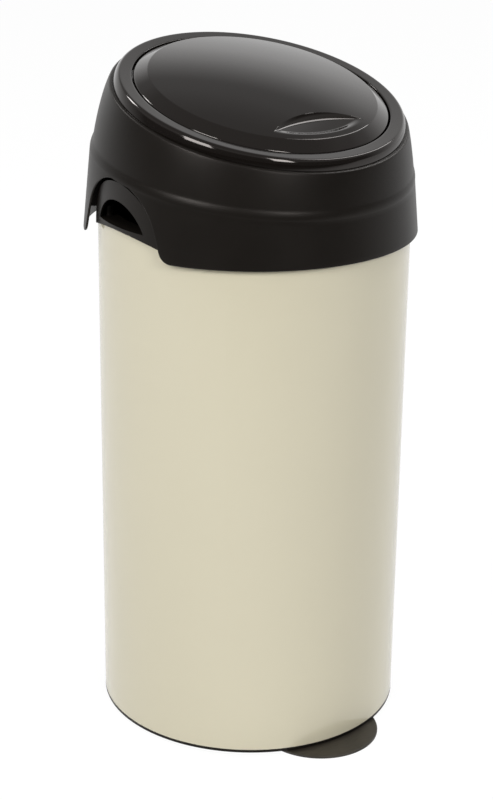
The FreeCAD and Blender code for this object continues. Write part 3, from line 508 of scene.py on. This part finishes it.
def add_piece(name, grids, material, body, replaced):
    """One smooth mesh from grids of points in millimetres with their faces, merged where points meet."""
    spots = []
    faces = []
    count = 0
    for points, corners in grids:
        flat = points.reshape(-1, 3) * MM
        spots.append(flat)
        faces.append(corners + count)
        count += len(flat)
    mesh = bpy.data.meshes.new(name)
    mesh.from_pydata(np.concatenate(spots).tolist(), [], np.concatenate(faces).tolist())
    work = bmesh.new()
    work.from_mesh(mesh)
    bmesh.ops.remove_doubles(work, verts=work.verts, dist=MERGE)
    bmesh.ops.recalc_face_normals(work, faces=work.faces)
    work.to_mesh(mesh)
    work.free()
    mesh.shade_smooth()
    mesh.set_sharp_from_angle(angle=SHARP)
    mesh.materials.append(material)
    piece = bpy.data.objects.new(name, mesh)
    bpy.context.scene.collection.objects.link(piece)
    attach(piece, body)
    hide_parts(*replaced)
    return piece


def arch_height(y, s):
    """Height of the cover's lower edge at a place from front to rear.

    Over the arch it is the centre's height plus the root of radius squared less distance squared. The
    flanks run down from there in straight lines that lean by a fixed angle, and a small arc turns them
    into the level edge.
    """
    away = np.abs(y - s.arch_y)
    lean = s.arch_lean
    flank = s.arch_r * math.cos(lean)
    flank_z = s.arch_z + s.arch_r * math.sin(lean)
    foot = flank + (flank_z - s.low) * math.tan(lean)
    tangent = s.arch_flare * math.cos(lean) / (1 + math.sin(lean))
    out = foot + tangent
    turn = foot - tangent * math.sin(lean)
    round_top = s.arch_z + np.sqrt(np.maximum(s.arch_r ** 2 - away ** 2, 0))
    straight = flank_z - (away - flank) / math.tan(lean)
    flare = s.low + s.arch_flare - np.sqrt(np.maximum(s.arch_flare ** 2 - (out - away) ** 2, 0))
    edge = np.where(away < flank, round_top, straight)
    edge = np.where(away < turn, edge, flare)
    return np.where(away < out, edge, s.low)


def cover_turns(count):
    """Angles round the cover, from the right towards the rear, three times as close where the arches are."""
    arch_reach = 0.46
    fall_off = 6
    even = np.linspace(0, math.tau, 7201)
    weight = 1 + 2 * np.exp(-(np.sin(even) / arch_reach) ** fall_off)
    travel = np.concatenate([[0], np.cumsum((weight[1:] + weight[:-1]) / 2)])
    return np.interp(np.linspace(0, travel[-1], count + 1)[:-1], travel, even)


def cover_grid(s, plane, turn):
    """Shell of the cover as a closed outline at each angle.

    The outline runs from the deck's opening outwards, over a rounded edge, down a wall that bulges through
    a middle section to the crease, over a shoulder whose step shrinks with the square of the way down, to
    the lower edge or the arch, round the lip and back up inside.
    """
    wall = s.wall
    lip_soft = wall * 0.45
    deck_soft = 0.5
    halvings = 40
    notched = np.abs(s.mouth_r * np.sin(turn)) < s.notch_half
    mouth_r = np.where(notched, s.notch_reach, s.mouth_r)

    def ring(radius, depth):
        return slanted(plane.height, plane.tilt, plane.along, depth, radius, turn)

    def section(inset):
        low = slanted(s.low, 0.0, s.low_y, 0.0, s.low_r - inset, turn)
        band = slanted(s.crease, s.crease_tilt, s.crease_along, s.crease_soft, s.crease_r - inset, turn)
        step = slanted(s.crease, s.crease_tilt, s.crease_along, 0.0, s.crease_r - s.crease_step - inset, turn)
        middle = slanted(s.mid, s.mid_tilt, s.mid_along, 0.0, s.mid_r - inset, turn)
        return low, band, step, middle

    def bulge(top, middle, step, share):
        """Parabola through three rows, the middle one half way."""
        share = share[:, None, None]
        return (top * (1 - share) * (1 - 2 * share) + middle * 4 * share * (1 - share)
                + step * share * (2 * share - 1))

    low, band, step, middle = section(0.0)
    near = np.zeros_like(turn)
    far = np.ones_like(turn)
    for _ in range(halvings):
        half = (near + far) / 2
        spot = band + (low - band) * half[:, None]
        above = spot[:, 2] > arch_height(spot[:, 1], s)
        near = np.where(above, half, near)
        far = np.where(above, far, half)
    lip = band + (low - band) * far[:, None]
    in_low, in_band, in_step, in_middle = section(wall)
    in_lip = in_band + (in_low - in_band) * far[:, None]
    mouth_top = ring(mouth_r, s.deck_depth)
    mouth_low = ring(mouth_r, s.deck_depth + s.deck)
    rim = ring(s.top_r, s.deck_depth)
    in_rim = ring(s.top_r - wall, s.deck_depth + s.deck)
    outside = bulge(rim, middle, step, np.linspace(0.12, 0.97, 14))
    inside = bulge(in_rim, in_middle, in_step, np.linspace(0.95, 0.05, 8))
    down = np.linspace(0, 1, 12)[:, None]
    shoulder_r = s.crease_r - s.crease_step * (1 - down) ** 2
    shoulder = slanted(s.crease, s.crease_tilt, s.crease_along, s.crease_soft * down, shoulder_r, turn)
    edge = bend(band, lip, in_lip, lip_soft, 5)
    return np.concatenate([
        bend(mouth_low, mouth_top, rim, deck_soft, 3),
        between(mouth_top, rim, 2),
        bend(mouth_top, rim, outside[0], s.top_round, 9),
        outside,
        shoulder,
        between(shoulder[-1], edge[0], 10),
        edge,
        bend(lip, in_lip, in_band, lip_soft, 5),
        between(in_lip, in_band, 5),
        in_band[None],
        in_step[None],
        inside,
        in_rim[None],
        bend(in_rim, mouth_low, mouth_top, deck_soft, 3),
    ])


def rib_grid(s, angle):
    """Upright rib inside the cover: a flat section with rounded inner corners, carried up the wall."""
    turn = np.array([angle])
    low = slanted(s.low, 0.0, s.low_y, 0.0, s.low_r - s.wall, turn)[0]
    band = slanted(s.crease, s.crease_tilt, s.crease_along, s.crease_soft, s.crease_r - s.wall, turn)[0]
    levels = np.linspace(s.rib_low, s.rib_top, 12)
    share = (levels - band[2]) / (low[2] - band[2])
    wall = band + (low - band) * share[:, None]
    outer = np.hypot(wall[:, 0], wall[:, 1]) + s.wall / 4
    round_in = s.rib_half * 0.5
    inner = np.full_like(outer, s.rib_in)
    radial = np.stack([inner, inner + round_in, outer, outer, inner + round_in, inner], 1)
    aside = s.rib_half * np.array([0.5, 1, 1, -1, -1, -0.5])
    points = np.stack([
        radial * math.cos(angle) - aside * math.sin(angle),
        radial * math.sin(angle) + aside * math.cos(angle),
        np.broadcast_to(levels[:, None], radial.shape),
    ], -1)
    return capped(points)


class WASTEBIN_OT_cover(bpy.types.Operator):
    """Shape the moulded cover with its arches, crease and ribs"""

    bl_idname = "wastebin.cover"
    bl_label = "Cover"

    def execute(self, context):
        sizes = context.scene.bin_cover
        shell = cover_grid(sizes, context.scene.bin_ring, cover_turns(720))
        grids = [netted(shell, True, True)]
        for degrees in RIB_ANGLES:
            grids.append(netted(rib_grid(sizes, math.radians(degrees - 90)), False, True))
        black = bpy.data.materials["soft_black_moulding"]
        add_piece("moulded_cover", grids, black, "cover", ["cover"])
        return {"FINISHED"}


def recess_circle(s, back):
    """Centre and radius of a circle through the recess's tips that crosses the middle at a given place."""
    tip = math.sqrt(s.recess_front ** 2 - s.recess_half ** 2)
    sag = tip - back
    radius = (s.recess_half ** 2 + sag ** 2) / (2 * sag)
    return -back - radius, radius


def flap_height(x, v, s):
    """Height of the dome over the ring plane.

    The dome is a parabola over the distance from the centre. The recess lowers it by a drop that shrinks
    evenly from the rear arc to the front arc, and with the square of the distance from the middle to
    nothing at the tips, times a rear share and a front share. The rear share grows from the rear arc to a
    flatter arc through the same tips, steep at first and level at the end, so that the wall is hollow. The
    front share is an even S over the distance inside the front arc.
    """
    out = np.hypot(x, v)
    dome = s.crease + s.rise * (1 - (out / s.crease_r) ** 2)
    centre, radius = recess_circle(s, s.recess_back)
    foot, foot_radius = recess_circle(s, s.recess_back + s.recess_wall)
    least = s.recess_lip / 100
    behind = np.maximum(radius - np.hypot(x, v - centre) + s.recess_lip, 0)
    short = np.maximum(np.hypot(x, v - foot) - foot_radius, 0)
    before = np.maximum(s.recess_front - out + s.recess_lip, 0)
    drop = s.recess_drop - s.recess_rise * behind / np.maximum(behind + before, least)
    drop = drop * np.maximum(1 - (x / s.recess_half) ** 2, 0)
    wall = behind / np.maximum(behind + short, least)
    run = np.clip(before / s.recess_run, 0, 1)
    return dome - drop * (1 - (1 - wall) ** 2) * run ** 2 * (3 - 2 * run)


def flap_grids(s, plane):
    """Outer face of the flap in three grids.

    The recess's grid spans the lens between its rear and front arc, with rows close together at both walls.
    The dome's grid leads from that lens outwards along rays to a circle just inside the crease. The band's
    grid carries a section round from there: a rounded crease, a cone, a rounded edge and a short skirt.
    """
    spare = 0.3
    crease_soft = 0.9
    foot_soft = 0.5
    foot_wide = 0.8
    margin = s.recess_lip + spare
    centre, radius = recess_circle(s, s.recess_back)
    rear_r = radius + margin
    front_r = s.recess_front + margin
    tip_v = (front_r ** 2 - rear_r ** 2 + centre ** 2) / (2 * centre)
    tip_x = math.sqrt(front_r ** 2 - tip_v ** 2)
    across = np.sin(np.linspace(-math.pi / 2, math.pi / 2, 181))
    rear_turn = across * math.atan2(tip_x, tip_v - centre)
    front_turn = across * math.atan2(tip_x, -tip_v)
    rear = np.stack([rear_r * np.sin(rear_turn), centre + rear_r * np.cos(rear_turn)], -1)
    front = np.stack([front_r * np.sin(front_turn), -front_r * np.cos(front_turn)], -1)
    width = np.linalg.norm(front - rear, axis=-1)
    fine = np.minimum(s.recess_wall + margin, width * 0.45) / np.maximum(width, margin / 100)
    wall = np.linspace(0, 1, 24)[:, None]
    middle = np.linspace(0, 1, 20)[1:-1, None]
    share = np.concatenate([wall * fine, fine + (1 - 2 * fine) * middle, 1 - wall[::-1] * fine])
    lens = rear + (front - rear) * share[..., None]

    loop = np.concatenate([rear, front[-2:0:-1]])
    heart = np.array([0.0, (tip_v - s.recess_front + s.recess_drop) / 2])
    rays = unit(loop - heart)
    rim = s.crease_r - crease_soft
    lead = rays @ heart
    far = heart + rays * (np.sqrt(lead ** 2 - heart @ heart + rim ** 2) - lead)[:, None]
    outward = np.linspace(0, 1, 54) ** 1.5
    dome = loop + (far - loop) * outward[:, None, None]

    turn = np.arctan2(far[:, 0], -far[:, 1])
    fall = s.crease / (s.radius - s.edge - s.crease_r)
    inner = np.array([[rim, s.crease + s.rise * (1 - (rim / s.crease_r) ** 2)]])
    crease = np.array([[s.crease_r, s.crease]])
    edge = np.array([[s.radius, s.crease - fall * (s.radius - s.crease_r)]])
    foot = np.array([[s.radius, -s.skirt]])
    slope_start = crease + (edge - crease) * 0.1
    slope_end = crease + (edge - crease) * 0.86
    section = np.concatenate([
        inner[None],
        bend(inner, crease, edge, crease_soft * 0.8, 9),
        between(slope_start, slope_end, 6),
        bend(crease, edge, foot, s.edge, 8),
        bend(edge, foot, foot - [[foot_wide, 0]], foot_soft, 4),
    ])
    out = section[..., 0]
    band = tipped(out * np.sin(turn), -out * np.cos(turn), section[..., 1] + 0 * turn, plane)
    shaped = [tipped(flat[..., 0], flat[..., 1], flap_height(flat[..., 0], flat[..., 1], s), plane)
              for flat in (lens, dome)]
    return *shaped, band


class WASTEBIN_OT_flap(bpy.types.Operator):
    """Shape the swing flap's dome with its band and finger recess"""

    bl_idname = "wastebin.flap"
    bl_label = "Flap"

    def execute(self, context):
        sizes = context.scene.bin_flap
        lens, dome, band = flap_grids(sizes, context.scene.bin_ring)
        grids = [netted(lens), netted(dome, False, True), netted(band, False, True)]
        gloss = bpy.data.materials["polished_black_moulding"]
        flap = add_piece("domed_flap", grids, gloss, "flap", ["flap_top"])
        shell = flap.modifiers.new("wall", "SOLIDIFY")
        shell.thickness = sizes.wall * MM
        shell.offset = -1
        return {"FINISHED"}


class WASTEBIN_OT_body(bpy.types.Operator):
    """Paint the steel body"""

    bl_idname = "wastebin.body"
    bl_label = "Steel body"

    def execute(self, context):
        dress(cream_paint(context.scene.bin_finishes.cream), "steel_body")
        return {"FINISHED"}


class WASTEBIN_OT_mouldings(bpy.types.Operator):
    """Give collar, grips, base and inner shell their matte black"""

    bl_idname = "wastebin.mouldings"
    bl_label = "Matte mouldings"

    def execute(self, context):
        black = soft_black(context.scene.bin_finishes.soft_black)
        dress(black, "collar", "left_grip", "right_grip", "base_pan", "flap_underside")
        return {"FINISHED"}


def ring_grid(s, plane, turn):
    """Capped channel carried round the opening.

    Its section runs up the outside on an ellipse, over the top face, which falls evenly towards the
    opening, round a small lip, down the inner wall and back along the underside, one wall further in.
    """
    end = math.acos(1 - s.side / s.swell_deep)
    flat = s.outer - s.swell_wide * math.sin(end)
    lean = np.linspace(end, 0, 32)
    swell = np.stack([flat + s.swell_wide * np.sin(lean), s.swell_deep * (np.cos(lean) - 1)], -1)
    back = np.linspace(0, end, 12)
    under = np.stack([
        flat + (s.swell_wide - s.wall) * np.sin(back), (s.swell_deep - s.wall) * (np.cos(back) - 1) - s.wall,
    ], -1)
    lip = np.linspace(0, math.pi / 2, 6)
    edge = np.stack([s.inner + s.lip * (1 - np.sin(lip)), -s.dish - s.lip * (1 - np.cos(lip))], -1)
    face = np.linspace(swell[-1], edge[0], 8)[1:-1]
    channel = np.array([
        (s.inner, -s.throat), (s.inner + s.wall, -s.throat), (s.inner + s.wall, -s.dish - s.wall),
    ])
    foot = np.array([(s.outer - s.wall, -s.side)])
    section = np.concatenate([swell, face, edge, channel, under[:-2], foot])
    out = section[:, :1]
    return tipped(out * np.cos(turn), out * np.sin(turn), section[:, 1:] + 0 * turn, plane)


def ledge_grid(s, plane):
    """Stop ledge: a flat section with rounded inner corners, carried round the rear."""
    half = s.ledge_turn / 2
    turn = math.pi / 2 + np.linspace(-half, half, 90)[:, None]
    top = -s.ledge_high
    low = top - s.ledge_thick
    soft = s.lip / 2
    root = s.inner + s.wall / 2
    out = np.array([root, s.ledge_in + soft, s.ledge_in, s.ledge_in, s.ledge_in + soft, root])
    high = np.array([top, top, top - soft, low + soft, low, low])
    return capped(tipped(out * np.cos(turn), out * np.sin(turn), high + 0 * turn, plane))


def boss_grid(s, plane, degrees):
    """Screw boss under the ring: a circle carried downwards, a little wider at its root."""
    root = 0.5
    around = full_turn(32)
    high = np.array([-s.wall / 2, -s.wall, -s.wall * 1.5, -s.boss_drop])[:, None]
    radius = s.boss_r + np.array([root, root, 0.0, 0.0])[:, None]
    turn = math.radians(degrees)
    x = s.boss_at * math.cos(turn) + radius * np.cos(around)
    v = s.boss_at * math.sin(turn) + radius * np.sin(around)
    return capped(tipped(x, v, high + 0 * around, plane))


def block_grid(s, plane, side):
    """Bearing block: a loop from the squared outside to the round bore, carried along the axle.

    The outside is a rounded rectangle: half width times cosine and half height times sine, each to the
    power of a quarter with its sign kept. The bore is a circle about the axle.
    """
    power = 0.25
    around = full_turn(64)
    cosine = np.cos(around)
    sine = np.sin(around)
    across = s.block_half * np.sign(cosine) * np.abs(cosine) ** power
    top = -s.wall / 2
    middle = (top - s.block_drop) / 2
    upright = middle + (top + s.block_drop) / 2 * np.sign(sine) * np.abs(sine) ** power
    outside = np.stack([across, upright], -1)
    bore = np.stack([s.bore_r * cosine, -s.bore_drop + s.bore_r * sine], -1)
    near = s.inner + s.wall / 2
    loops = np.stack([outside, outside, bore, bore])
    x = side * np.array([near, s.block_out, s.block_out, near])[:, None] + 0 * around
    return tipped(x, loops[..., 0], loops[..., 1], plane)


class WASTEBIN_OT_ring(bpy.types.Operator):
    """Shape the polished ring with its stop ledge, bosses and bearing blocks"""

    bl_idname = "wastebin.ring"
    bl_label = "Ring"

    def execute(self, context):
        sizes = context.scene.bin_ring_shape
        plane = context.scene.bin_ring
        shell = ring_grid(sizes, plane, full_turn(960))
        grids = [netted(shell, True, True), netted(ledge_grid(sizes, plane), False, True)]
        for degrees in RING_SCREW_TURNS:
            grids.append(netted(boss_grid(sizes, plane, degrees), False, True))
        for side in (-1, 1):
            grids.append(netted(block_grid(sizes, plane, side), True, True))
        gloss = polished_black(context.scene.bin_finishes.piano_black)
        add_piece("polished_ring", grids, gloss, "cover", ["bezel"])
        return {"FINISHED"}


class WASTEBIN_OT_foot_plate(bpy.types.Operator):
    """Paint the foot plate"""

    bl_idname = "wastebin.foot_plate"
    bl_label = "Foot plate"

    def execute(self, context):
        dress(plate_brown(context.scene.bin_finishes.plate_brown), "foot_plate")
        return {"FINISHED"}


class WASTEBIN_OT_small_parts(bpy.types.Operator):
    """Give screws, rivets, pins, bushes, pads and counterweight their finishes"""

    bl_idname = "wastebin.small_parts"
    bl_label = "Small parts"

    def execute(self, context):
        zinc = zinc_plate(context.scene.bin_finishes.zinc)
        dress(zinc, "foot_plate_screws", "collar_rivets", "grip_screws", "bezel_screws", "flap_screws")
        dress(zinc, "counterweight_screws", "left_pivot_pin", "right_pivot_pin")
        dress(plain_steel(), "counterweight")
        dress(natural_acetal(), "left_bush", "right_bush")
        dress(pad_rubber(), "stop_pads")
        return {"FINISHED"}


def add_floor(reach):
    """Round pale floor that shows white to the camera and keeps the bin's soft shadow.

    Its paper turns dark between two distances from the bin's axis, towards the camera.
    """
    drop = 0.0003
    pale_to = 0.7
    dark_from = 1.7
    glow_level = 1.08
    white_share = 0.87
    mirror_share = 0.7
    turn = full_turn(96)
    rim = np.stack([reach * np.cos(turn), reach * np.sin(turn), np.full_like(turn, -drop)], 1)
    mesh = bpy.data.meshes.new("floor")
    mesh.from_pydata(rim.tolist(), [], [list(range(len(rim)))])
    floor = bpy.data.objects.new("floor", mesh)
    bpy.context.scene.collection.objects.link(floor)
    finish = Finish("pale_floor")
    spot = finish.node("ShaderNodeSeparateXYZ", {}, {0: finish.place()})
    towards = spot.out("X") * -AHEAD[0] + spot.out("Y") * -AHEAD[1]
    near = towards.ramp(pale_to, dark_from, 1.0, 0.0)
    grey = finish.blend(near, shade(WHITE[:3], 0.12), shade(WHITE[:3], 0.66))
    paper = finish.node("ShaderNodeBsdfDiffuse", {}, {"Color": grey})
    glow = finish.node("ShaderNodeEmission", {}, {"Color": WHITE, "Strength": glow_level})
    path = finish.node("ShaderNodeLightPath")
    seen = path.out("Is Camera Ray").math("MAXIMUM", path.out("Is Glossy Ray") * near * mirror_share)
    both = finish.node("ShaderNodeMixShader", {}, {
        0: seen * white_share, 1: paper.out("BSDF"), 2: glow.out("Emission"),
    })
    finish.node("ShaderNodeOutputMaterial", {}, {"Surface": both.out("Shader")})
    mesh.materials.append(finish.owner)


def add_room(strength):
    """White room: a lit band near the horizon that fades overhead, and a dimmer side towards the camera.

    The camera itself sees plain white.
    """
    dimmest = 0.1
    rear_full = 0.9
    high_from = 0.35
    high_full = 0.72
    sheet = Sheet(bpy.data.worlds.new("studio_room"))
    spot = sheet.node("ShaderNodeTexCoord").out("Generated")
    parts = sheet.node("ShaderNodeSeparateXYZ", {}, {0: spot})
    rise = sheet.curve(parts.out("Z"), ROOM_RISE)
    rear = (parts.out("X") * AHEAD[0] + parts.out("Y") * AHEAD[1]).ramp(0.0, rear_full, dimmest, 1.0)
    side = rear.math("MAXIMUM", parts.out("Z").ramp(high_from, high_full))
    seen = sheet.node("ShaderNodeLightPath").out("Is Camera Ray")
    level = (rise * side * strength).math("MAXIMUM", seen)
    light = sheet.node("ShaderNodeBackground", {}, {"Color": WHITE, "Strength": level})
    sheet.node("ShaderNodeOutputWorld", {}, {"Surface": light.out("Background")})
    bpy.context.scene.world = sheet.owner


def add_strip(name, turn, low, high, away, wide, glow):
    """Tall narrow lamp that stands at an angle from the rear towards the right and looks at the bin's axis.

    Its lower and upper ends are given as angles above the ring, its brightness as what a mirror would show.
    """
    level = 0.63
    bottom = level + away * math.tan(low)
    top = level + away * math.tan(high)
    at = (away * math.sin(turn), away * math.cos(turn), (bottom + top) / 2)
    tall = top - bottom
    add_lamp(name, at, (0, 0, at[2]), (wide, tall), glow * math.pi * wide * tall)


def add_tube(wide, glow):
    """Long narrow lamp overhead at the right, from the front near the bin to the rear far from it."""
    near = Vector((0.75, -0.42, 2.2))
    far = Vector((2.2, 0.487, 2.2))
    aim = Vector((0, 0, 0.62))
    along = far - near
    power = glow * math.pi * along.length * wide
    lamp = add_lamp("right_tube", (near + far) / 2, aim, (along.length, wide), power)
    down = (aim - lamp.location).normalized()
    side = along.normalized()
    up = side.cross(down).normalized()
    lamp.rotation_euler = Matrix((side, up, side.cross(up))).transposed().to_euler()


def add_lamp(name, at, aim, size, power):
    """Rectangular soft lamp that looks from one point at another."""
    data = bpy.data.lights.new(name, "AREA")
    data.shape = "RECTANGLE"
    data.size, data.size_y = size
    data.energy = power
    lamp = bpy.data.objects.new(name, data)
    lamp.location = at
    lamp.rotation_euler = (Vector(aim) - Vector(at)).to_track_quat("-Z", "Y").to_euler()
    bpy.context.scene.collection.objects.link(lamp)
    return lamp


def add_camera(stage):
    """Camera at the photograph's standpoint."""
    data = bpy.data.cameras.new("photo_camera")
    data.lens = stage.lens
    data.sensor_width = 36.0
    data.clip_start = 0.05
    data.clip_end = 100.0
    level = math.cos(stage.dip)
    ahead = Vector((math.sin(stage.heading) * level, math.cos(stage.heading) * level, -math.sin(stage.dip)))
    right = Vector((math.cos(stage.heading), -math.sin(stage.heading), 0))
    up = right.cross(ahead)
    across = right * math.cos(stage.roll) + up * math.sin(stage.roll)
    over = up * math.cos(stage.roll) - right * math.sin(stage.roll)
    camera = bpy.data.objects.new("photo_camera", data)
    turned = Matrix((across, over, -ahead)).transposed().to_4x4()
    camera.matrix_world = Matrix.Translation(Vector(stage.eye)) @ turned
    bpy.context.scene.collection.objects.link(camera)
    bpy.context.scene.camera = camera


class WASTEBIN_OT_stage(bpy.types.Operator):
    """Add floor, room, lamps and camera"""

    bl_idname = "wastebin.stage"
    bl_label = "Stage"

    def execute(self, context):
        stage = context.scene.bin_stage
        context.scene.view_settings.view_transform = "Standard"
        add_floor(stage.floor_reach)
        add_room(stage.sky)
        for name, turn, low, high, away, wide, share in STRIPS:
            angles = [math.radians(degrees) for degrees in (turn, low, high)]
            add_strip(name, *angles, away, wide, stage.strips * share)
        add_tube(stage.tube, stage.strips * TUBE_SHARE)
        add_camera(stage)
        return {"FINISHED"}


class WASTEBIN_PT_panel(bpy.types.Panel):
    """Lists the steps that dress the bin"""

    bl_label = "Waste Bin"
    bl_idname = "WASTEBIN_PT_panel"
    bl_space_type = "VIEW_3D"
    bl_region_type = "UI"
    bl_category = "Waste Bin"

    def draw(self, context):
        column = self.layout.column(align=True)
        for step in STEPS:
            column.operator(step.bl_idname)
        for name in GROUPS:
            group = getattr(context.scene, name)
            box = self.layout.box()
            for key in group.__annotations__:
                box.prop(group, key)


STEPS = (
    WASTEBIN_OT_body, WASTEBIN_OT_mouldings, WASTEBIN_OT_cover, WASTEBIN_OT_ring, WASTEBIN_OT_flap,
    WASTEBIN_OT_foot_plate, WASTEBIN_OT_small_parts, WASTEBIN_OT_stage,
)
GROUPS = {
    "bin_ring": RingPlane, "bin_ring_shape": RingShape, "bin_cover": CoverShape, "bin_flap": FlapShape,
    "bin_finishes": BinFinishes, "bin_stage": BinStage,
}
CLASSES = (*GROUPS.values(), *STEPS, WASTEBIN_PT_panel)


def register():
    for item in CLASSES:
        bpy.utils.register_class(item)
    for name, group in GROUPS.items():
        setattr(bpy.types.Scene, name, bpy.props.PointerProperty(type=group))


def unregister():
    for name in GROUPS:
        delattr(bpy.types.Scene, name)
    for item in reversed(CLASSES):
        bpy.utils.unregister_class(item)


def main():
    register()
    for step in STEPS:
        group, action = step.bl_idname.split(".")
        getattr(getattr(bpy.ops, group), action)()


if __name__ == "__main__":
    main()
